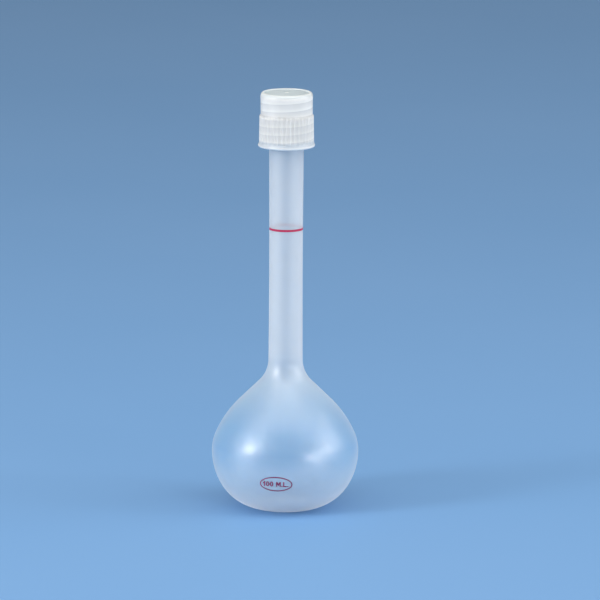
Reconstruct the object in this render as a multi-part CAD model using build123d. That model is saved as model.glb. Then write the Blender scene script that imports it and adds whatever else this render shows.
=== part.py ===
from build123d import *
import math
import os

# A 100 ml volumetric flask in translucent polypropylene, with a screw cap.
#
# Millimetres, +Z up. The origin is the centre of the ring that the flask stands on. The flask is one
# blown piece: a pear-shaped bulb with a pushed-up base, a long narrow neck and a threaded mouth. The
# cap is a moulded shell with an internal thread, and a soft liner disc in its roof seals on the rim.
# Two marks are printed in red ink: a ring round the neck where the flask holds its capacity, and an
# oval with the capacity on the front of the bulb.

os.makedirs("parts", exist_ok=True)

# Driving dimensions of the flask
CAPACITY = 100_000.0  # mm3 held up to the graduation ring
WALL = 1.1
NECK_FOOT_RADIUS = 7.03
NECK_WAIST_RADIUS = 6.88
NECK_TOP_RADIUS = 7.16
RIM_HEIGHT = 170.0

# The bulb is a chain of tangent arcs. An angle is that of the wall's normal, from the horizontal.
BELLY_RADIUS = 30.21  # of the widest circle, round the axis
FOOT_ARC, FOOT_END = 1.5, -90.0
HEEL_ARC, HEEL_START = 20.48, -77.0
LOWER_ARC, LOWER_START = 27.15, -31.0
BELLY_ARC, BELLY_END = 18.12, 23.8
UPPER_ARC, UPPER_END = 44.98, 45.7
NECK_ARC = 12.74

# The base is pushed up inside the ring that it stands on
STAND_INNER_RADIUS = 11.2
PUSH_UP = 1.2

# Screw thread, right-handed, the same pitch on the mouth and in the cap
PITCH = 3.2
MOUTH_ROOT_RADIUS = 7.9
MOUTH_CREST_RADIUS = 9.0
CAP_ROOT_RADIUS = 9.3
CAP_CREST_RADIUS = 8.2
RIDGE_ROOT_HALF = 0.95  # half the ridge's height where it meets its wall
RIDGE_CREST_HALF = 0.42
RIDGE_BURIED = 0.25  # how far a ridge reaches into its wall, so that the two fuse
MOUTH_FOOT = 152.6
MOUTH_FLARE = 1.0  # height over which the neck widens to the thread's root
MOUTH_THREAD_START = 156.4
MOUTH_THREAD_TURNS = 3.75
MOUTH_LIP = 0.5

# Cap, from its foot up
CAP_FOOT = 150.7
CAP_FLARE_WIDEST = 151.4
CAP_FLARE_START = 152.9
CAP_STEP_FOOT = 163.4
CAP_STEP_TOP = 164.1
CAP_SHOULDER = 171.3
CAP_CREST = 173.1  # top of the rounded rim round the sunk top
CAP_FOOT_RADIUS = 11.23
CAP_FLARE_RADIUS = 11.68
CAP_SLEEVE_FOOT_RADIUS = 11.07
CAP_SLEEVE_TOP_RADIUS = 10.9
CAP_UPPER_RADIUS = 10.63
CAP_RIM_RADIUS = 10.73
CAP_CREST_RING = 9.6
CAP_TOP_RADIUS = 9.1
CAP_TOP_SUNK = 0.35
CAP_ROOF = 1.4
LEAD_IN = 0.45
CAP_THREAD_START = 152.2
CAP_THREAD_TURNS = 4.9
RIB_COUNT = 40
RIB_RADIUS = 0.34
RIB_PROUD = 0.2
GATE_RADIUS = 0.65
GATE_HEIGHT = 0.3
BEAD_RADIUS = 8.95  # the bead under the liner, which keeps it in the cap
BEAD_HALF = 0.35
BEAD_GAP = 0.05

# Liner, loose between the cap's roof and the bead
LINER_RADIUS = 9.12

# Ink
INK = 0.05
RING_WIDTH = 0.9
OVAL_LONG, OVAL_HIGH = 13.3, 6.45
OVAL_X, OVAL_Z = -3.55, 15.35
OVAL_LINE = 0.42
MARK_TILT = -1.1  # degrees, as printed
STROKE = 0.46
LETTER_HIGH = 2.2
FLAG_WIDE, ZERO_WIDE, M_WIDE, L_WIDE = 0.55, 1.45, 1.9, 1.45

# The middle of each character, from the middle of the oval
ONE_X, FIRST_ZERO_X, SECOND_ZERO_X = -4.75, -3.45, -1.88
M_X, M_DOT_X, L_X, L_DOT_X = 0.95, 2.37, 3.6, 4.8


def normal(angle):
    """The unit vector (radius, height) at an angle in degrees from the horizontal."""
    return Vector(math.cos(math.radians(angle)), math.sin(math.radians(angle)))


def bulb_centres():
    """The centre (radius, height) of each arc of the bulb's outside, and of the neck's arc."""
    lower = Vector(BELLY_RADIUS - LOWER_ARC, 0)
    heel = lower + normal(LOWER_START) * (LOWER_ARC - HEEL_ARC)
    foot = heel + normal(HEEL_START) * (HEEL_ARC - FOOT_ARC)
    belly = Vector(BELLY_RADIUS - BELLY_ARC, 0)
    upper = belly + normal(BELLY_END) * (BELLY_ARC - UPPER_ARC)
    slope_foot = upper + normal(UPPER_END) * UPPER_ARC
    turn = math.radians(UPPER_END)
    spread = NECK_ARC * (1 - math.cos(turn))
    slope = (slope_foot.X - NECK_FOOT_RADIUS - spread) / math.sin(turn)
    slope_top = slope_foot + Vector(-math.sin(turn), math.cos(turn)) * slope
    neck = slope_top + normal(UPPER_END) * NECK_ARC
    lift = Vector(0, FOOT_ARC - foot.Y)  # puts the foot's lowest point at height 0
    named = {"foot": foot, "heel": heel, "lower": lower, "belly": belly, "upper": upper, "neck": neck}
    return {name: centre + lift for name, centre in named.items()}


CENTRES = bulb_centres()
NECK_FOOT = CENTRES["neck"].Y


def bulb_edges(inset):
    """The bulb's outline from the axis up to the neck's foot, moved into the wall by inset."""

    def arc(name, radius, start, end):
        return CenterArc(CENTRES[name], radius, start, end - start)

    dome_arc = (PUSH_UP**2 + STAND_INNER_RADIUS**2) / (2 * PUSH_UP) + inset
    dome_centre = PUSH_UP + inset - dome_arc
    # Where the dome, moved by inset, meets the flat ring that is moved by as much
    stand_inner = math.sqrt(STAND_INNER_RADIUS**2 + 2 * inset * PUSH_UP)
    halfway = math.atan2(stand_inner, inset - dome_centre) / 2
    on_dome = Vector(dome_arc * math.sin(halfway), dome_centre + dome_arc * math.cos(halfway))
    stand_edge = Vector(stand_inner, inset)
    foot = arc("foot", FOOT_ARC - inset, FOOT_END, HEEL_START)
    heel = arc("heel", HEEL_ARC - inset, HEEL_START, LOWER_START)
    lower = arc("lower", LOWER_ARC - inset, LOWER_START, 0)
    belly = arc("belly", BELLY_ARC - inset, 0, BELLY_END)
    upper = arc("upper", UPPER_ARC - inset, BELLY_END, UPPER_END)
    neck = arc("neck", NECK_ARC + inset, 180 + UPPER_END, 180)
    return [
        ThreePointArc(Vector(0, PUSH_UP + inset), on_dome, stand_edge),
        Line(stand_edge, foot @ 0),
        foot,
        heel,
        lower,
        belly,
        upper,
        Line(upper @ 1, neck @ 0),
        neck,
    ]


def turned(edges):
    """The solid of revolution whose half section runs along edges, from the axis back to the axis."""
    closing = Line(edges[-1] @ 1, edges[0] @ 0)
    return revolve(Plane.XZ * make_face([*edges, closing]), Axis.Z)


def path_through(start, points):
    """Straight edges from start through each (radius, height)."""
    corners = [start, *[Vector(*point) for point in points]]
    return [Line(a, b) for a, b in zip(corners, corners[1:])]


def neck_waist():
    """The neck's outside, a long shallow arc from its foot to just under the mouth."""
    return ThreePointArc(
        Vector(NECK_FOOT_RADIUS, NECK_FOOT),
        Vector(NECK_WAIST_RADIUS, (NECK_FOOT + MOUTH_FOOT) / 2),
        Vector(NECK_TOP_RADIUS, MOUTH_FOOT),
    )


def flask_outside():
    """The flask's outside as a full solid, without its thread."""
    mouth = path_through(
        Vector(NECK_TOP_RADIUS, MOUTH_FOOT),
        [
            (MOUTH_ROOT_RADIUS, MOUTH_FOOT + MOUTH_FLARE),
            (MOUTH_ROOT_RADIUS, RIM_HEIGHT - MOUTH_LIP),
            (MOUTH_ROOT_RADIUS - MOUTH_LIP, RIM_HEIGHT),
            (0, RIM_HEIGHT),
        ],
    )
    return turned([*bulb_edges(0), neck_waist(), *mouth])


def flask_inside():
    """The space that the flask holds, up to its rim."""
    bore = NECK_FOOT_RADIUS - WALL
    mouth = path_through(Vector(bore, NECK_FOOT), [(bore, RIM_HEIGHT), (0, RIM_HEIGHT)])
    return turned([*bulb_edges(WALL), *mouth])


def ridge(wall_radius, crest_radius, turns):
    """A thread ridge from height 0, buried a little in the wall that carries it."""
    outward = math.copysign(1.0, crest_radius - wall_radius)
    buried = wall_radius - outward * RIDGE_BURIED
    slope = (RIDGE_ROOT_HALF - RIDGE_CREST_HALF) / abs(crest_radius - wall_radius)
    buried_half = RIDGE_ROOT_HALF + slope * RIDGE_BURIED
    path = Helix(PITCH, PITCH * turns, wall_radius)
    section = Polyline(
        (buried, 0, -buried_half),
        (crest_radius, 0, -RIDGE_CREST_HALF),
        (crest_radius, 0, RIDGE_CREST_HALF),
        (buried, 0, buried_half),
        close=True,
    )
    return sweep(make_face(section), path=path, is_frenet=True)


def flask_body():
    """The blown flask with the thread round its mouth."""
    thread = ridge(MOUTH_ROOT_RADIUS, MOUTH_CREST_RADIUS, MOUTH_THREAD_TURNS)
    return flask_outside() + Pos(0, 0, MOUTH_THREAD_START) * thread - flask_inside()


def quarter_ellipse(centre, across, up, start):
    return EllipticalCenterArc(centre, across, up, start_angle=start, arc_size=90)


def cap_ceiling():
    """The height of the roof's underside."""
    return CAP_CREST - CAP_TOP_SUNK - CAP_ROOF


def cap_outside():
    """The cap's outside without its ribs: flared foot, sleeve, step, upper wall and rounded rim."""
    sunk = CAP_CREST - CAP_TOP_SUNK
    foot_round = quarter_ellipse(
        (CAP_FOOT_RADIUS, CAP_FLARE_WIDEST),
        CAP_FLARE_RADIUS - CAP_FOOT_RADIUS,
        CAP_FLARE_WIDEST - CAP_FOOT,
        start=-90,
    )
    walls = path_through(
        foot_round @ 1,
        [
            (CAP_SLEEVE_FOOT_RADIUS, CAP_FLARE_START),
            (CAP_SLEEVE_TOP_RADIUS, CAP_STEP_FOOT),
            (CAP_UPPER_RADIUS, CAP_STEP_TOP),
            (CAP_RIM_RADIUS, CAP_SHOULDER),
        ],
    )
    across, down = CAP_RIM_RADIUS - CAP_CREST_RING, CAP_CREST - CAP_SHOULDER
    rim_outer = quarter_ellipse((CAP_CREST_RING, CAP_SHOULDER), across, down, start=0)
    across = CAP_CREST_RING - CAP_TOP_RADIUS
    rim_inner = quarter_ellipse((CAP_CREST_RING, sunk), across, CAP_TOP_SUNK, start=90)
    underside = Line(Vector(0, CAP_FOOT), foot_round @ 0)
    top = Line(rim_inner @ 1, Vector(0, sunk))
    return turned([underside, foot_round, *walls, rim_outer, rim_inner, top])


def cap_ribs():
    """Upright grip ribs round the sleeve, which run out into its step and its flare."""
    foot, top = CAP_FLARE_WIDEST, CAP_STEP_TOP + RIB_PROUD
    draft = CAP_SLEEVE_FOOT_RADIUS - CAP_SLEEVE_TOP_RADIUS
    lean = math.degrees(math.atan2(draft, CAP_STEP_FOOT - CAP_FLARE_START))
    bar = Cylinder(RIB_RADIUS, top - foot, align=(Align.CENTER, Align.CENTER, Align.MIN))
    centre = CAP_SLEEVE_FOOT_RADIUS + RIB_PROUD - RIB_RADIUS
    bars = PolarLocations(0, RIB_COUNT) * (Pos(centre, 0, foot) * (Rot(0, -lean, 0) * bar))
    envelope = turned(
        path_through(
            Vector(0, foot),
            [
                (CAP_FLARE_RADIUS - RIB_PROUD, foot),
                (CAP_SLEEVE_FOOT_RADIUS + RIB_PROUD, CAP_FLARE_START - RIB_PROUD),
                (CAP_SLEEVE_TOP_RADIUS + RIB_PROUD, CAP_STEP_FOOT),
                (CAP_UPPER_RADIUS, CAP_STEP_TOP),
                (0, CAP_STEP_TOP),
            ],
        )
    )
    return [bar & envelope for bar in bars]


def cap_hollow():
    """The space inside the cap: a lead-in, the thread's root wall, and the bead under the liner."""
    bead_middle = RIM_HEIGHT - BEAD_GAP - BEAD_HALF
    return turned(
        path_through(
            Vector(0, CAP_FOOT),
            [
                (CAP_ROOT_RADIUS + LEAD_IN, CAP_FOOT),
                (CAP_ROOT_RADIUS, CAP_FOOT + 2 * LEAD_IN),
                (CAP_ROOT_RADIUS, bead_middle - BEAD_HALF),
                (BEAD_RADIUS, bead_middle),
                (CAP_ROOT_RADIUS, bead_middle + BEAD_HALF),
                (CAP_ROOT_RADIUS, cap_ceiling()),
                (0, cap_ceiling()),
            ],
        )
    )


def gate_nub():
    """The small round stub that the moulding gate leaves in the middle of the cap's top."""
    nub = Cylinder(GATE_RADIUS, 2 * GATE_HEIGHT)
    nub = fillet(nub.edges().sort_by(Axis.Z)[-1], GATE_HEIGHT / 2)
    return Pos(0, 0, CAP_CREST - CAP_TOP_SUNK) * nub


def screw_cap():
    """The moulded cap: a ribbed shell, open below, with a thread inside and the gate's nub on top."""
    thread = ridge(CAP_ROOT_RADIUS, CAP_CREST_RADIUS, CAP_THREAD_TURNS)
    # Half a pitch from the mouth's ridge, so that each ridge lies in the other's groove
    pitches_between = (CAP_THREAD_START - MOUTH_THREAD_START) / PITCH
    thread = Rot(0, 0, 360 * (pitches_between - 0.5)) * thread
    shell = cap_outside() + cap_ribs() + gate_nub() - cap_hollow()
    return shell + Pos(0, 0, CAP_THREAD_START) * thread


def cap_liner():
    """The soft disc between the cap's roof and the flask's rim."""
    low = (Align.CENTER, Align.CENTER, Align.MIN)
    return Pos(0, 0, RIM_HEIGHT) * Cylinder(LINER_RADIUS, cap_ceiling() - RIM_HEIGHT, align=low)


def ring_height():
    """The height on the neck up to which the flask holds its capacity."""
    bore = NECK_FOOT_RADIUS - WALL
    neck_space = math.pi * bore**2 * (RIM_HEIGHT - NECK_FOOT)
    bulb_space = flask_inside().volume - neck_space
    return NECK_FOOT + (CAPACITY - bulb_space) / (math.pi * bore**2)


def graduation_ring(outside):
    """A band of ink round the neck, whose middle is at the capacity."""
    band = Pos(0, 0, ring_height()) * Cylinder(NECK_WAIST_RADIUS + INK, RING_WIDTH)
    return band - outside


def stroke(*points):
    """A straight or bent pen stroke through points, square at its ends."""
    return trace(Polyline(*points), STROKE)


def cut_level(character):
    """A character without the points that its sharp corners would make above the others."""
    return character - Pos(0, LETTER_HIGH) * Rectangle(2 * M_WIDE, LETTER_HIGH)


def digit_one():
    top = LETTER_HIGH / 2
    return cut_level(stroke((-FLAG_WIDE, top - 2 * STROKE), (0, top - STROKE / 2), (0, -top)))


def digit_zero():
    outer = Ellipse(ZERO_WIDE / 2, LETTER_HIGH / 2)
    return outer - Ellipse(ZERO_WIDE / 2 - STROKE, LETTER_HIGH / 2 - STROKE)


def letter_m():
    side, top = (M_WIDE - STROKE) / 2, LETTER_HIGH / 2
    valley = -top / 3
    return cut_level(stroke((-side, -top), (-side, top), (0, valley), (side, top), (side, -top)))


def letter_l():
    side, foot = (L_WIDE - STROKE) / 2, (STROKE - LETTER_HIGH) / 2
    return stroke((-side, LETTER_HIGH / 2), (-side, foot), (side + STROKE / 2, foot))


def full_stop():
    return Pos(0, (STROKE - LETTER_HIGH) / 2) * Rectangle(STROKE, STROKE)


def lettering():
    """The capacity, 100 M.L., in plain capitals about the middle of the oval."""
    return [
        Pos(ONE_X, 0) * digit_one(),
        Pos(FIRST_ZERO_X, 0) * digit_zero(),
        Pos(SECOND_ZERO_X, 0) * digit_zero(),
        Pos(M_X, 0) * letter_m(),
        Pos(M_DOT_X, 0) * full_stop(),
        Pos(L_X, 0) * letter_l(),
        Pos(L_DOT_X, 0) * full_stop(),
    ]


def capacity_mark(outside):
    """The capacity inside an oval, printed on the front of the bulb."""
    oval = Ellipse(OVAL_LONG / 2, OVAL_HIGH / 2)
    oval -= Ellipse(OVAL_LONG / 2 - OVAL_LINE, OVAL_HIGH / 2 - OVAL_LINE)
    print_plane = Plane.XZ * Pos(OVAL_X, OVAL_Z, 0) * Rot(0, 0, MARK_TILT)
    bulb_top = Line(Vector(NECK_FOOT_RADIUS + INK, NECK_FOOT), Vector(0, NECK_FOOT))
    skin = turned([*bulb_edges(-INK), bulb_top]) - outside
    mark = Part()
    for shape in [oval, *lettering()]:
        stamp = extrude(print_plane * shape, BELLY_RADIUS + 1, dir=(0, -1, 0))
        mark += stamp & skin
    return mark


def main():
    outside = flask_outside()
    parts = {
        "flask_body": flask_body(),
        "screw_cap": screw_cap(),
        "cap_liner": cap_liner(),
        "graduation_ring": graduation_ring(outside),
        "capacity_mark": capacity_mark(outside),
    }
    for name, shape in parts.items():
        export_step(shape, f"parts/{name}.step")
    print("graduation ring at", round(ring_height(), 2), "neck foot at", round(NECK_FOOT, 2))
    print("held to the rim", round(flask_inside().volume / 1000, 2), "ml")


main()
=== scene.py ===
"""The looks of a 100 ml volumetric flask in translucent polypropylene, with its white screw cap.

Metres, +Z up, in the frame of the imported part: the flask stands on z = 0 round the Z axis, and its
printed capacity faces -Y. Lengths named below are in millimetres, and MM turns them into metres.
"""
import math

import bpy
from mathutils import Matrix, Vector


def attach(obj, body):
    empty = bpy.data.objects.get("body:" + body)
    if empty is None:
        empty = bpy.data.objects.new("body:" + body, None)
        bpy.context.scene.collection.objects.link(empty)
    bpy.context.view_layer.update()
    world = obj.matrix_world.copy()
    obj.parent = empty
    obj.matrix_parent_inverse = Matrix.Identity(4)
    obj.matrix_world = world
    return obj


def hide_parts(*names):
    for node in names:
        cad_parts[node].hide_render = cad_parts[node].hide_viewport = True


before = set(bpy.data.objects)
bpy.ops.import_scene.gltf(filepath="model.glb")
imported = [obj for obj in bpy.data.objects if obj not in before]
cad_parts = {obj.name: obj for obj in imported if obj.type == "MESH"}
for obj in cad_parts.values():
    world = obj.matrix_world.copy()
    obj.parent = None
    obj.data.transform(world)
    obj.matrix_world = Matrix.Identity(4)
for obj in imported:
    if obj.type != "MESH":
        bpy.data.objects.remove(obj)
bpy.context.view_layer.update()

MM = 0.001
TURN = 2 * math.pi

# The flask's outline, as a chain of tangent arcs. An angle is that of the wall's normal.
WALL = 1.1
BELLY_RADIUS = 30.21
FOOT_ARC, FOOT_END = 1.5, -90.0
HEEL_ARC, HEEL_START = 20.48, -77.0
LOWER_ARC, LOWER_START = 27.15, -31.0
BELLY_ARC, BELLY_END = 18.12, 23.8
UPPER_ARC, UPPER_END = 44.98, 45.7
NECK_ARC = 12.74
NECK_FOOT_RADIUS, NECK_WAIST_RADIUS, NECK_TOP_RADIUS = 7.03, 6.88, 7.16
STAND_INNER_RADIUS, PUSH_UP = 11.2, 1.2
RIM_HEIGHT, MOUTH_FOOT, MOUTH_FLARE, MOUTH_LIP = 170.0, 152.6, 1.0, 0.5

# Right-handed screw threads. Each is a root radius, a crest radius, the height of its start, where it
# starts in turns from +X, and its number of turns.
PITCH, RIDGE_ROOT_HALF, RIDGE_CREST_HALF = 3.2, 0.95, 0.42
MOUTH_THREAD = (7.9, 9.0, 156.4, 0.0, 3.75)
CAP_THREAD = (9.3, 8.2, 152.2, 0.1875, 4.9)
THREAD_FADE = 0.12  # turns over which a ridge rises from its wall
THREAD_ROW = 0.18  # height between the mesh's rows on a threaded wall
FLASK_COLUMNS = 160

# The cap's outline
CAP_FOOT, FLARE_WIDEST, FLARE_START, STEP_FOOT, STEP_TOP = 150.7, 151.4, 152.9, 163.4, 164.1
SHOULDER, CREST, TOP_SUNK, ROOF = 171.3, 173.1, 0.35, 1.4
FOOT_RADIUS, FLARE_RADIUS, SLEEVE_FOOT_RADIUS, SLEEVE_TOP_RADIUS = 11.23, 11.68, 11.07, 10.9
UPPER_RADIUS, RIM_RADIUS, CREST_RING, TOP_RADIUS = 10.63, 10.73, 9.6, 9.1
LEAD_IN, LEAD_IN_EDGE = 0.45, 0.15
BEAD_RADIUS, BEAD_HALF, BEAD_GAP = 8.95, 0.35, 0.05
RIB_COUNT, RIB_RADIUS, RIB_PROUD = 40, 0.34, 0.2
GATE_RADIUS, GATE_HEIGHT, GATE_EDGE, GATE_FILLET = 0.65, 0.3, 0.15, 0.08
CEILING_FILLET = 0.2
CORNER_ROW = 0.2  # how far from its corner the cap's flat top has its last row of points


def arc(centre, radius, start, end, steps, radius_up=None):
    """Points (radius, height) along an arc or a quarter ellipse, between angles in degrees."""
    up = radius if radius_up is None else radius_up
    angles = [math.radians(start + (end - start) * i / steps) for i in range(steps + 1)]
    return [(centre[0] + radius * math.cos(a), centre[1] + up * math.sin(a)) for a in angles]


def line(start, end, steps):
    """Points along a straight stretch, its ends included."""
    shares = [i / steps for i in range(steps + 1)]
    return [tuple(a + (b - a) * s for a, b in zip(start, end)) for s in shares]


def joined(*stretches):
    """One outline from stretches that meet end to end, with each meeting point once."""
    outline = []
    for point in (p for stretch in stretches for p in stretch):
        if not outline or math.dist(point, outline[-1]) > 1e-6:
            outline.append(point)
    return outline


def stepped(centre, angle, distance):
    """The point at a distance from a centre, in the direction of an angle in degrees."""
    a = math.radians(angle)
    return (centre[0] + distance * math.cos(a), centre[1] + distance * math.sin(a))


def bulb_centres():
    """The centre (radius, height) of each arc of the bulb's outside, and of the neck's arc."""
    lower = (BELLY_RADIUS - LOWER_ARC, 0.0)
    heel = stepped(lower, LOWER_START, LOWER_ARC - HEEL_ARC)
    foot = stepped(heel, HEEL_START, HEEL_ARC - FOOT_ARC)
    belly = (BELLY_RADIUS - BELLY_ARC, 0.0)
    upper = stepped(belly, BELLY_END, BELLY_ARC - UPPER_ARC)
    slope_foot = stepped(upper, UPPER_END, UPPER_ARC)
    turn = math.radians(UPPER_END)
    slope = (slope_foot[0] - NECK_FOOT_RADIUS - NECK_ARC * (1 - math.cos(turn))) / math.sin(turn)
    neck = stepped(stepped(slope_foot, UPPER_END + 90, slope), UPPER_END, NECK_ARC)
    lift = FOOT_ARC - foot[1]
    named = {"foot": foot, "heel": heel, "lower": lower, "belly": belly, "upper": upper, "neck": neck}
    return {name: (r, z + lift) for name, (r, z) in named.items()}


CENTRES = bulb_centres()
NECK_FOOT = CENTRES["neck"][1]


def bulb_outline(inset):
    """The bulb from the axis to the neck's foot, moved into the wall by inset."""
    inner_edge = math.sqrt(STAND_INNER_RADIUS**2 + 2 * inset * PUSH_UP)
    dome_radius = (PUSH_UP**2 + STAND_INNER_RADIUS**2) / (2 * PUSH_UP) + inset
    dome_centre = PUSH_UP + inset - dome_radius
    dome_end = math.degrees(math.atan2(inset - dome_centre, inner_edge))
    dome = arc((0, dome_centre), dome_radius, 90, dome_end, 8)
    foot = arc(CENTRES["foot"], FOOT_ARC - inset, FOOT_END, HEEL_START, 4)
    upper = arc(CENTRES["upper"], UPPER_ARC - inset, BELLY_END, UPPER_END, 16)
    neck = arc(CENTRES["neck"], NECK_ARC + inset, 180 + UPPER_END, 180, 16)
    return joined(
        dome,
        line(dome[-1], foot[0], 2),
        foot,
        arc(CENTRES["heel"], HEEL_ARC - inset, HEEL_START, LOWER_START, 20),
        arc(CENTRES["lower"], LOWER_ARC - inset, LOWER_START, 0, 18),
        arc(CENTRES["belly"], BELLY_ARC - inset, 0, BELLY_END, 12),
        upper,
        line(upper[-1], neck[0], 6),
        neck,
    )


def neck_radius(height):
    """The neck's outside, a shallow arc through its foot, waist and top."""
    middle = (NECK_FOOT + MOUTH_FOOT) / 2
    half = (MOUTH_FOOT - NECK_FOOT) / 2
    share = (height - middle) / half
    lean = (NECK_TOP_RADIUS - NECK_FOOT_RADIUS) / 2
    bow = (NECK_TOP_RADIUS + NECK_FOOT_RADIUS) / 2 - NECK_WAIST_RADIUS
    return NECK_WAIST_RADIUS + lean * share + bow * share**2


def ridge_height(thread, angle, height):
    """How far a thread's ridge stands out of its wall at an angle and a height."""
    root, crest, start, start_turn, turns = thread
    around = angle / TURN - start_turn
    turn = around + round((height - start) / PITCH - around)
    away = abs(height - start - PITCH * turn)
    rise = min(1.0, max(0.0, (RIDGE_ROOT_HALF - away) / (RIDGE_ROOT_HALF - RIDGE_CREST_HALF)))
    fade = min(1.0, max(0.0, min(turn, turns - turn) / THREAD_FADE))
    return (crest - root) * smooth(rise) * smooth(fade)


def smooth(share):
    """A share that leaves 0 and reaches 1 gently."""
    return share * share * (3 - 2 * share)


def lathed(name, outline, angles, relief, inside_from=None):
    """A closed smooth mesh turned round Z from an outline that starts and ends on the axis.

    relief(angle, radius, height) says how far a point moves out from the axis, in millimetres. The
    faces from the outline's point inside_from on take the second material.
    """
    columns, rings = len(angles), len(outline) - 2
    inside_from = inside_from or len(outline)
    points = [(0, 0, outline[0][1])]
    for radius, height in outline[1:-1]:
        for angle in angles:
            r = radius + relief(angle, radius, height)
            points.append((r * math.cos(angle), r * math.sin(angle), height))
    points.append((0, 0, outline[-1][1]))
    first_ring, last_ring = 1, 1 + (rings - 1) * columns
    faces = []
    sides = []
    for i in range(columns):
        j = (i + 1) % columns
        faces.append((0, first_ring + j, first_ring + i))
        for ring in range(rings - 1):
            low, high = 1 + ring * columns, 1 + (ring + 1) * columns
            faces.append((low + i, low + j, high + j, high + i))
        faces.append((last_ring + i, last_ring + j, len(points) - 1))
        sides.extend(1 if ring >= inside_from else 0 for ring in range(rings + 1))
    mesh = bpy.data.meshes.new(name)
    mesh.from_pydata([Vector(p) * MM for p in points], [], faces)
    mesh.polygons.foreach_set("use_smooth", [True] * len(faces))
    mesh.polygons.foreach_set("material_index", sides)
    mesh.update()
    piece = bpy.data.objects.new(name, mesh)
    bpy.context.scene.collection.objects.link(piece)
    return piece


def even_angles():
    return [TURN * i / FLASK_COLUMNS for i in range(FLASK_COLUMNS)]


def rib_angles():
    """Angles round the cap, close together across each rib and with one in each groove."""
    across = [RIB_RADIUS * share for share in (-1.0, -0.85, -0.5, 0.0, 0.5, 0.85, 1.0)]
    groove = math.pi * SLEEVE_FOOT_RADIUS / RIB_COUNT
    offsets = [aside / SLEEVE_FOOT_RADIUS for aside in (*across, groove)]
    return [TURN * rib / RIB_COUNT + offset for rib in range(RIB_COUNT) for offset in offsets]


def flask_outline():
    """From the middle of the base up the outside and down the inside, and the outside's point count."""
    root = MOUTH_THREAD[0]
    bore = NECK_FOOT_RADIUS - WALL
    heights = [NECK_FOOT + (MOUTH_FOOT - NECK_FOOT) * i / 40 for i in range(41)]
    thread_rows = int((RIM_HEIGHT - MOUTH_LIP - MOUTH_FOOT - MOUTH_FLARE) / THREAD_ROW)
    lip = MOUTH_LIP / 2
    outside = joined(
        bulb_outline(0),
        [(neck_radius(height), height) for height in heights],
        line((NECK_TOP_RADIUS, MOUTH_FOOT), (root, MOUTH_FOOT + MOUTH_FLARE), 4),
        line((root, MOUTH_FOOT + MOUTH_FLARE), (root, RIM_HEIGHT - MOUTH_LIP), thread_rows),
        arc((root - MOUTH_LIP, RIM_HEIGHT - MOUTH_LIP), MOUTH_LIP, 0, 90, 5),
    )
    inside = joined(
        arc((bore + lip, RIM_HEIGHT - lip), lip, 90, 180, 4),
        line((bore, RIM_HEIGHT - lip), (bore, NECK_FOOT), 30),
        bulb_outline(WALL)[::-1],
    )
    return joined(outside, inside), len(outside)


def flask_relief(angle, radius, height):
    """The thread's ridge round the mouth."""
    root = MOUTH_THREAD[0]
    on_mouth = abs(radius - root) < 1e-6 and height > MOUTH_FOOT
    return ridge_height(MOUTH_THREAD, angle, height) if on_mouth else 0.0


def cap_outline():
    """From the gate's nub over the top and down the outside to the foot, and up the inside."""
    sunk = CREST - TOP_SUNK
    nub_top = sunk + GATE_HEIGHT
    root = CAP_THREAD[0]
    ceiling = sunk - ROOF
    bead = RIM_HEIGHT - BEAD_GAP - BEAD_HALF
    rows = int((bead - BEAD_HALF - CAP_FOOT - 2 * LEAD_IN) / THREAD_ROW)
    foot_depth = FLARE_WIDEST - CAP_FOOT
    return joined(
        [(0, nub_top)],
        arc((GATE_RADIUS - GATE_EDGE, nub_top - GATE_EDGE), GATE_EDGE, 90, 0, 3),
        line((GATE_RADIUS, nub_top - GATE_EDGE), (GATE_RADIUS, sunk + GATE_FILLET), 1),
        arc((GATE_RADIUS + GATE_FILLET, sunk + GATE_FILLET), GATE_FILLET, 180, 270, 2),
        line((GATE_RADIUS + GATE_FILLET, sunk), (TOP_RADIUS - CORNER_ROW, sunk), 6),
        arc((CREST_RING, sunk), CREST_RING - TOP_RADIUS, 180, 90, 5, TOP_SUNK),
        arc((CREST_RING, SHOULDER), RIM_RADIUS - CREST_RING, 90, 0, 10, CREST - SHOULDER),
        line((RIM_RADIUS, SHOULDER), (UPPER_RADIUS, STEP_TOP), 8),
        line((UPPER_RADIUS, STEP_TOP), (SLEEVE_TOP_RADIUS, STEP_FOOT), 5),
        line((SLEEVE_TOP_RADIUS, STEP_FOOT), (SLEEVE_FOOT_RADIUS, FLARE_START), 14),
        line((SLEEVE_FOOT_RADIUS, FLARE_START), (FLARE_RADIUS, FLARE_WIDEST), 6),
        arc((FOOT_RADIUS, FLARE_WIDEST), FLARE_RADIUS - FOOT_RADIUS, 0, -90, 6, foot_depth),
        line((FOOT_RADIUS, CAP_FOOT), (root + LEAD_IN + LEAD_IN_EDGE, CAP_FOOT), 3),
        line((root + LEAD_IN, CAP_FOOT + LEAD_IN_EDGE), (root, CAP_FOOT + 2 * LEAD_IN), 2),
        line((root, CAP_FOOT + 2 * LEAD_IN), (root, bead - BEAD_HALF), rows),
        [(root, bead - BEAD_HALF), (BEAD_RADIUS, bead), (root, bead + BEAD_HALF)],
        line((root, bead + BEAD_HALF), (root, ceiling - CEILING_FILLET), 2),
        arc((root - CEILING_FILLET, ceiling - CEILING_FILLET), CEILING_FILLET, 0, 90, 3),
        line((root - CEILING_FILLET, ceiling), (0, ceiling), 6),
    )


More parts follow.
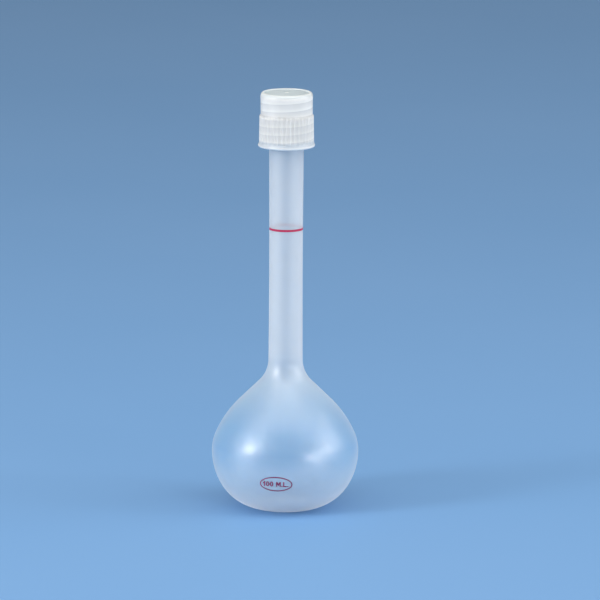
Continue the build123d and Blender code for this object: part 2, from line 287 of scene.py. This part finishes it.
def rib_reach(height):
    """The radius that the crests of the cap's ribs reach at a height."""
    if height > STEP_FOOT:
        share = min(1.0, (height - STEP_FOOT) / (STEP_TOP - STEP_FOOT))
        return SLEEVE_TOP_RADIUS + RIB_PROUD + (UPPER_RADIUS - SLEEVE_TOP_RADIUS - RIB_PROUD) * share
    share = (height - FLARE_START) / (STEP_FOOT - FLARE_START)
    return SLEEVE_FOOT_RADIUS + RIB_PROUD + (SLEEVE_TOP_RADIUS - SLEEVE_FOOT_RADIUS) * share


def cap_relief(angle, radius, height):
    """The thread's ridge inside the cap, and the ribs round its sleeve."""
    if abs(radius - CAP_THREAD[0]) < 1e-6 and height < RIM_HEIGHT:
        return ridge_height(CAP_THREAD, angle, height)
    if radius < UPPER_RADIUS or not CAP_FOOT < height < STEP_TOP:
        return 0.0
    spacing = TURN / RIB_COUNT
    aside = abs((angle + spacing / 2) % spacing - spacing / 2) * SLEEVE_FOOT_RADIUS
    if aside >= RIB_RADIUS:
        return 0.0
    rib = rib_reach(height) - RIB_RADIUS + math.sqrt(RIB_RADIUS**2 - aside**2)
    return max(0.0, rib - radius)


# Materials. Colours are linear, and a ramp is a row of stops, each a share and a level.

# The flask's wall is milky where it is thick: at the base, at the shoulder, and all the way up from a
# height in the neck. Its extra whiteness at the base and the lower bulb is painted light too, lifting
# the shade on the downward-facing lower bulb. The ramp below goes from the base to that height.
THIN_BLUE, THICK_WHITE = (0.10, 0.38, 0.68), (0.69, 0.735, 0.78)
MILKY_FROM = 64.0
MILKINESS_AND_PAINTED_BASE_LIGHT = (
    (0.0, 0.95), (0.10, 0.80), (0.24, 0.52), (0.42, 0.04), (0.56, 0.11), (0.80, 0.56), (1.0, 1.0)
)
# Opacity of the bulb and of the neck seen flat, and of both seen edge on
OUTER_OPACITY, OUTER_REFRACTION, OUTER_GLOSS = (0.30, 0.44, 0.70, 0.76), 2.0, 0.26
INNER_OPACITY, INNER_REFRACTION, INNER_GLOSS = (0.10, 0.13, 0.28, 0.34), 3.0, 0.2

# The cap's wall, whiter where its thread's ridge backs it. A band starts at each turn's foot.
BETWEEN_RIDGES, OVER_RIDGES = (0.62, 0.61, 0.59), (0.96, 0.93, 0.85)
BAND_START = 153.6 + PITCH / 4  # its height on the +X side, a quarter turn past the front
BAND_PROFILE = ((0.0, 0.1), (0.05, 1.0), (0.22, 0.85), (0.45, 0.5), (0.9, 0.2), (1.0, 0.1))
THIN_WALL_FADE = 0.6  # height above the step over which the bands become clear
# The flared foot, the ledge where the sleeve ends, the crest, and the roof round the gate's nub; the
# ledge, the crest and the roof are darker as painted shade against the overhead light
SKIRT_WHITE, SKIRT_DEPTH = (0.50, 0.54, 0.57), 3.6
SKIRT_SHADE = ((0.0, 0.0), (0.2, 0.0), (0.36, 1.0), (0.6, 1.0), (0.85, 0.0), (1.0, 0.0))
# The ledge's darker grey is painted shade, dimming the overhead light on its upward-facing step
LEDGE_PAINTED_SHADE_GREY, LEDGE_FOOT, LEDGE_DEPTH = (0.58, 0.58, 0.57), 163.0, 1.5
LEDGE_SHADE = ((0.0, 0.0), (0.3, 1.0), (0.6, 1.0), (1.0, 0.0))
# The crest's dimmed white is painted shade, offsetting the overhead light on the upward-facing crest
CREST_PAINTED_SHADE_WHITE, CREST_FADE = (0.55, 0.59, 0.60), 1.0
# The roof's darker whites are painted shade, dimming the overhead light on the upward-facing top; their
# cloudy spread is the plastic's own
THIN_ROOF_PAINTED_SHADE, THICK_ROOF_PAINTED_SHADE = (0.45, 0.54, 0.59), (0.49, 0.58, 0.63)
ROOF_INNER_EDGE, ROOF_OUTER_EDGE = (0.6, 0.9), (8.9, 9.5)

FOAM_PORE, FOAM_SKIN = (0.74, 0.74, 0.72), (0.86, 0.86, 0.84)
THIN_RED, FULL_RED = (0.58, 0.03, 0.11), (0.46, 0.012, 0.065)
THIN_DARK_RED, FULL_DARK_RED = (0.34, 0.015, 0.10), (0.21, 0.008, 0.06)
FLOOR_BLUE, FLOOR_PALER = (0.145, 0.325, 0.61), (0.155, 0.335, 0.62)

WHOLE = (0.0, 1.0)
MOST_NOISE = (0.35, 0.65)  # the range that most of a noise's values are in


def node(tree, kind, settings=None, **inputs):
    """A shader node with its settings, and its inputs set or linked by name."""
    made = tree.nodes.new(kind)
    for name, value in (settings or {}).items():
        setattr(made, name, value)
    for name, value in inputs.items():
        socket = made.inputs[name.replace("_", " ")]
        if isinstance(value, bpy.types.NodeSocket):
            tree.links.new(value, socket)
        else:
            socket.default_value = value
    return made


def new_material(name):
    material = bpy.data.materials.new(name)
    material.use_nodes = True
    tree = material.node_tree
    tree.nodes.clear()
    return material, tree


def object_point(tree, stretch=(1, 1, 1)):
    """The point in the part's own frame, in metres, stretched along its axes."""
    coordinates = node(tree, "ShaderNodeTexCoord")
    scaled = node(tree, "ShaderNodeMapping", Vector=coordinates.outputs["Object"], Scale=stretch)
    return scaled.outputs["Vector"]


def noise(tree, point, per_metre, detail=3.0, roughness=0.5):
    """A cloudy number from 0 to 1, with about so many clouds in a metre."""
    limits = {"Scale": per_metre, "Detail": detail, "Roughness": roughness}
    return node(tree, "ShaderNodeTexNoise", Vector=point, **limits).outputs["Fac"]


def between(tree, share, low, high, span=WHOLE):
    """A number that goes from low to high as share crosses span."""
    limits = {"From_Min": span[0], "From_Max": span[1], "To_Min": low, "To_Max": high}
    return node(tree, "ShaderNodeMapRange", Value=share, **limits).outputs["Result"]


def past(tree, length, start, end):
    """0 where a length in metres is under start, and 1 where it is over end, both in millimetres."""
    return between(tree, length, 0.0, 1.0, (start * MM, end * MM))


def height_of(tree):
    """The height above the base, in metres."""
    coordinates = node(tree, "ShaderNodeTexCoord")
    parts = node(tree, "ShaderNodeSeparateXYZ", Vector=coordinates.outputs["Object"])
    return parts.outputs["Z"]


def maths(tree, operation, first, second=0.0):
    made = node(tree, "ShaderNodeMath", {"operation": operation})
    for socket, value in zip(made.inputs, (first, second)):
        if isinstance(value, bpy.types.NodeSocket):
            tree.links.new(value, socket)
        else:
            socket.default_value = value
    return made.outputs["Value"]


def colour_between(tree, share, low, high, span=MOST_NOISE):
    """A colour that goes from low to high as share crosses span."""
    ramp = node(tree, "ShaderNodeValToRGB", Fac=share)
    for element, position, colour in zip(ramp.color_ramp.elements, span, (low, high)):
        element.position, element.color = position, (*colour, 1)
    return ramp.outputs["Color"]


def grey_ramp(tree, share, stops):
    """A number that passes through the levels in stops, (share, level), as share goes from 0 to 1."""
    ramp = node(tree, "ShaderNodeValToRGB", Fac=share)
    elements = ramp.color_ramp.elements
    for position, _ in stops[1:-1]:
        elements.new(position)
    for element, (_, level) in zip(elements, stops):
        element.color = (level, level, level, 1)
    return ramp.outputs["Color"]


def mixed(tree, share, first, second):
    """One colour where share is 0, passing into the other where it is 1."""
    made = node(tree, "ShaderNodeMix", {"data_type": "RGBA"})
    share_in, first_in, second_in, colour_out = 0, 6, 7, 2  # the node has a set for each kind of data
    for socket, value in ((share_in, share), (first_in, first), (second_in, second)):
        if isinstance(value, bpy.types.NodeSocket):
            tree.links.new(value, made.inputs[socket])
        else:
            made.inputs[socket].default_value = (*value, 1)
    return made.outputs[colour_out]


def away_from_axis(tree):
    """The distance from the Z axis, in metres."""
    flat = object_point(tree, (1, 1, 0))
    return node(tree, "ShaderNodeVectorMath", {"operation": "LENGTH"}, Vector=flat).outputs["Value"]


def bump(tree, height, distance, strength=1.0, normal=None):
    """A surface raised by up to distance, in metres, on top of another bump's normal if given."""
    made = node(tree, "ShaderNodeBump", Height=height, Distance=distance, Strength=strength)
    if normal:
        tree.links.new(normal, made.inputs["Normal"])
    return made.outputs["Normal"]


def finished(tree, shader):
    node(tree, "ShaderNodeOutputMaterial", Surface=shader.outputs["BSDF"])


def flask_plastic(name, opacity, refraction, gloss):
    """Blown natural polypropylene, bluish where the wall is thin, milkier in the thick neck, and whiter
    at the base partly as painted light.

    opacity holds the alpha of the bulb and of the neck where the wall is seen flat, and of both where
    it is seen edge on. A low alpha dims the gloss as well, so the index of refraction and the specular
    level are raised to make up for that. gloss is the roughness of the coat, which is thinner where
    the wall is milky.
    """
    bulb_flat, neck_flat, bulb_edge, neck_edge = opacity
    material, tree = new_material(name)
    point = object_point(tree)
    clouds = noise(tree, point, 70, 4)
    # Milkiness by height; its high values at the base are partly painted light on the downward-facing
    # lower bulb
    milkiness_and_base_light = grey_ramp(tree, maths(tree, "DIVIDE", height_of(tree), MILKY_FROM * MM), MILKINESS_AND_PAINTED_BASE_LIGHT)
    facing = node(tree, "ShaderNodeLayerWeight", Blend=0.5).outputs["Facing"]
    seen_flat = between(tree, milkiness_and_base_light, bulb_flat, neck_flat)
    seen_edge = between(tree, milkiness_and_base_light, bulb_edge, neck_edge)
    thin = colour_between(tree, clouds, THIN_BLUE, [share * 1.05 for share in THIN_BLUE])
    thick = colour_between(tree, clouds, THICK_WHITE, [share * 1.04 for share in THICK_WHITE])
    waves = bump(tree, noise(tree, point, 48, 2), 0.0004)
    shader = node(
        tree,
        "ShaderNodeBsdfPrincipled",
        Base_Color=mixed(tree, milkiness_and_base_light, thin, thick),
        Roughness=2 * gloss,
        Normal=bump(tree, noise(tree, point, 900, 3), 0.00001, 0.5, waves),
        Alpha=between(tree, facing, seen_flat, seen_edge),
        Subsurface_Weight=1.0,
        Subsurface_Radius=(1.0, 1.0, 1.0),
        Subsurface_Scale=0.003,
        Specular_IOR_Level=1.0,
        Coat_Weight=between(tree, milkiness_and_base_light, 0.8, 0.15),
        Coat_Roughness=gloss,
        Coat_IOR=1.8,
        Sheen_Weight=1.0,
        Sheen_Roughness=0.4,
        IOR=refraction,
    )
    finished(tree, shader)
    return material


def thread_bands(tree):
    """Where the ridge inside the cap backs the wall, from the foot of each turn up to the next."""
    coordinates = node(tree, "ShaderNodeTexCoord")
    parts = node(tree, "ShaderNodeSeparateXYZ", Vector=coordinates.outputs["Object"])
    angle = maths(tree, "ARCTAN2", parts.outputs["Y"], parts.outputs["X"])
    turns_round = maths(tree, "DIVIDE", angle, TURN)
    above_start = maths(tree, "SUBTRACT", parts.outputs["Z"], BAND_START * MM)
    turns_up = maths(tree, "DIVIDE", above_start, PITCH * MM)
    share = maths(tree, "FRACT", maths(tree, "SUBTRACT", turns_up, turns_round))
    return grey_ramp(tree, share, BAND_PROFILE)


def cap_wall(tree, height):
    """The colour of the cap's outside wall: bands faint on the ribbed sleeve and clear above it, with
    painted shade darkening the ledge and the crest.
    """
    ridge = thread_bands(tree)
    thinner = past(tree, height, STEP_TOP, STEP_TOP + THIN_WALL_FADE)
    faint = between(tree, ridge, 0.0, 0.42)
    clear = between(tree, ridge, 0.2, 1.0)
    bands = between(tree, thinner, faint, clear)
    wall = colour_between(tree, bands, BETWEEN_RIDGES, OVER_RIDGES, WHOLE)
    up_skirt = past(tree, height, CAP_FOOT, CAP_FOOT + SKIRT_DEPTH)
    up_ledge_painted_shade = past(tree, height, LEDGE_FOOT, LEDGE_FOOT + LEDGE_DEPTH)
    up_crest_painted_shade = past(tree, height, SHOULDER, SHOULDER + CREST_FADE)
    wall = mixed(tree, grey_ramp(tree, up_skirt, SKIRT_SHADE), wall, SKIRT_WHITE)
    # Painted shade on the ledge, dimming the overhead light on the upward-facing step
    wall = mixed(tree, grey_ramp(tree, up_ledge_painted_shade, LEDGE_SHADE), wall, LEDGE_PAINTED_SHADE_GREY)
    # Painted shade on the crest, dimming the overhead light on the upward-facing top
    return mixed(tree, up_crest_painted_shade, wall, CREST_PAINTED_SHADE_WHITE)


def cap_plastic():
    """Moulded white polypropylene, a little see-through: whiter where a ridge backs the wall, with a
    darker roof as painted shade.
    """
    material, tree = new_material("white_polypropylene")
    point = object_point(tree)
    clouds = noise(tree, point, 160, 3)
    grain = noise(tree, point, 2200, 2)
    radius = away_from_axis(tree)
    past_nub = past(tree, radius, *ROOF_INNER_EDGE)
    inside_crest = maths(tree, "SUBTRACT", 1.0, past(tree, radius, *ROOF_OUTER_EDGE))
    # The roof takes a darker white, painted shade against the overhead light on the upward-facing top
    roof_with_painted_shade = colour_between(tree, clouds, THIN_ROOF_PAINTED_SHADE, THICK_ROOF_PAINTED_SHADE)
    painted_shade_roof_share = maths(tree, "MULTIPLY", inside_crest, past_nub)
    shader = node(
        tree,
        "ShaderNodeBsdfPrincipled",
        Base_Color=mixed(tree, painted_shade_roof_share, cap_wall(tree, height_of(tree)), roof_with_painted_shade),
        Roughness=between(tree, clouds, 0.36, 0.44, MOST_NOISE),
        Subsurface_Weight=1.0,
        Subsurface_Radius=(1.0, 1.0, 1.0),
        Subsurface_Scale=0.0042,
        Coat_Weight=0.25,
        Coat_Roughness=0.3,
        Normal=bump(tree, grain, 0.000006, 0.4),
        IOR=1.49,
    )
    finished(tree, shader)
    return material


def foam():
    """Foamed polyethylene, with small cells."""
    material, tree = new_material("foamed_polyethylene")
    point = object_point(tree)
    cells = node(tree, "ShaderNodeTexVoronoi", Vector=point, Scale=2600).outputs["Distance"]
    shader = node(
        tree,
        "ShaderNodeBsdfPrincipled",
        Base_Color=colour_between(tree, cells, FOAM_PORE, FOAM_SKIN, (0.0, 0.7)),
        Roughness=0.75,
        Normal=bump(tree, cells, 0.00006, 0.6),
    )
    finished(tree, shader)
    return material


def ink(name, thin, full):
    """Screen-printed ink, a little uneven in how thickly it lies."""
    material, tree = new_material(name)
    point = object_point(tree)
    coverage = noise(tree, point, 1500, 4, 0.7)
    shader = node(
        tree,
        "ShaderNodeBsdfPrincipled",
        Base_Color=colour_between(tree, coverage, thin, full, (0.3, 0.55)),
        Roughness=between(tree, coverage, 0.5, 0.36, MOST_NOISE),
        Normal=bump(tree, coverage, 0.00001, 0.5),
    )
    finished(tree, shader)
    return material


def floor_material():
    material, tree = new_material("pale_floor")
    clouds = noise(tree, object_point(tree), 3, 3)
    shader = node(
        tree,
        "ShaderNodeBsdfPrincipled",
        Base_Color=colour_between(tree, clouds, FLOOR_BLUE, FLOOR_PALER),
        Roughness=0.6,
    )
    finished(tree, shader)
    return material


def dress(piece, *materials):
    for material in materials:
        piece.data.materials.append(material)


# Pieces

outline, outside_points = flask_outline()
flask = lathed("flask_shell", outline, even_angles(), flask_relief, outside_points)
dress(
    flask,
    flask_plastic("milky_polypropylene", OUTER_OPACITY, OUTER_REFRACTION, OUTER_GLOSS),
    flask_plastic("inner_face_of_polypropylene", INNER_OPACITY, INNER_REFRACTION, INNER_GLOSS),
)
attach(flask, "flask")
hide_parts("flask_body")

# The cap's outline is turned round, so that it climbs the outside and its faces point outward
cap = lathed("cap_shell", cap_outline()[::-1], rib_angles(), cap_relief)
dress(cap, cap_plastic())
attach(cap, "cap")
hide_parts("screw_cap")

# The rest are the part's own meshes in a better material
kept_nodes = {
    "cap_liner": foam(),
    "graduation_ring": ink("red_ink", THIN_RED, FULL_RED),
    "capacity_mark": ink("dark_red_ink", THIN_DARK_RED, FULL_DARK_RED),
}
for name, material in kept_nodes.items():
    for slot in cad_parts[name].material_slots:
        slot.material = material


# Stage, lights and camera, with lengths in metres and angles in degrees

FLOOR_HALF = 8.0
WARM_WHITE = (1.0, 0.98, 0.95)
STUDIO_WHITE, STUDIO_STRENGTH = (0.97, 0.95, 0.91, 1), 0.36
LIT_POINT = Vector((0, 0, 0.08))
# Name, azimuth (0 is in front of the flask, 90 on its right), elevation, distance, width, height, watts
SOFTBOXES = (
    ("key", -61, 19, 2.4, 0.62, 0.88, 29),
    ("streak", 76, 15, 2.6, 0.12, 0.9, 8),
    ("left_wall", -66, 30, 2.8, 1.8, 2.4, 12),
    ("right_wall", 84, 26, 2.8, 2.2, 2.0, 34),
    ("fill", 40, 5, 2.8, 0.5, 0.5, 13),
    ("overhead", 0, 68, 1.25, 2.0, 0.9, 12.5),
)
CAMERA_AIM, CAMERA_DISTANCE = Vector((0.00584, 0, 0.0865)), 2.59
CAMERA_PITCH, CAMERA_ROLL = 11.3, 0.29
LENS, SENSOR = 378, 36  # millimetres


def make_floor():
    mesh = bpy.data.meshes.new("floor")
    corners = [(x * FLOOR_HALF, y * FLOOR_HALF, 0) for x, y in ((-1, -1), (1, -1), (1, 1), (-1, 1))]
    mesh.from_pydata(corners, [], [(0, 1, 2, 3)])
    floor = bpy.data.objects.new("floor", mesh)
    bpy.context.scene.collection.objects.link(floor)
    dress(floor, floor_material())


def softbox(name, azimuth, elevation, distance, width, height, watts):
    """An area light that looks at the flask and isn't seen itself."""
    light = bpy.data.lights.new(name, "AREA")
    light.shape, light.size, light.size_y = "RECTANGLE", width, height
    light.energy, light.color = watts, WARM_WHITE
    lamp = bpy.data.objects.new(name, light)
    a, e = math.radians(azimuth), math.radians(elevation)
    away = Vector((math.sin(a) * math.cos(e), -math.cos(a) * math.cos(e), math.sin(e)))
    lamp.location = LIT_POINT + away * distance
    lamp.rotation_euler = away.to_track_quat("Z", "Y").to_euler()
    lamp.visible_camera = False
    bpy.context.scene.collection.objects.link(lamp)


def make_lights():
    for row in SOFTBOXES:
        softbox(*row)
    world = bpy.data.worlds.new("studio")
    world.use_nodes = True
    background = world.node_tree.nodes["Background"]
    background.inputs["Color"].default_value = STUDIO_WHITE
    background.inputs["Strength"].default_value = STUDIO_STRENGTH
    bpy.context.scene.world = world


def make_camera():
    pitch, roll = math.radians(CAMERA_PITCH), math.radians(CAMERA_ROLL)
    back = Vector((0, -math.cos(pitch), math.sin(pitch)))
    camera = bpy.data.objects.new("camera", bpy.data.cameras.new("camera"))
    camera.data.lens, camera.data.sensor_width = LENS, SENSOR
    camera.data.clip_end = 100
    camera.location = CAMERA_AIM + back * CAMERA_DISTANCE
    facing = back.to_track_quat("Z", "Y").to_matrix()
    camera.rotation_euler = (facing @ Matrix.Rotation(roll, 3, "Z")).to_euler()
    bpy.context.scene.collection.objects.link(camera)
    bpy.context.scene.camera = camera


make_floor()
make_lights()
make_camera()
bpy.context.scene.view_settings.view_transform = "Standard"
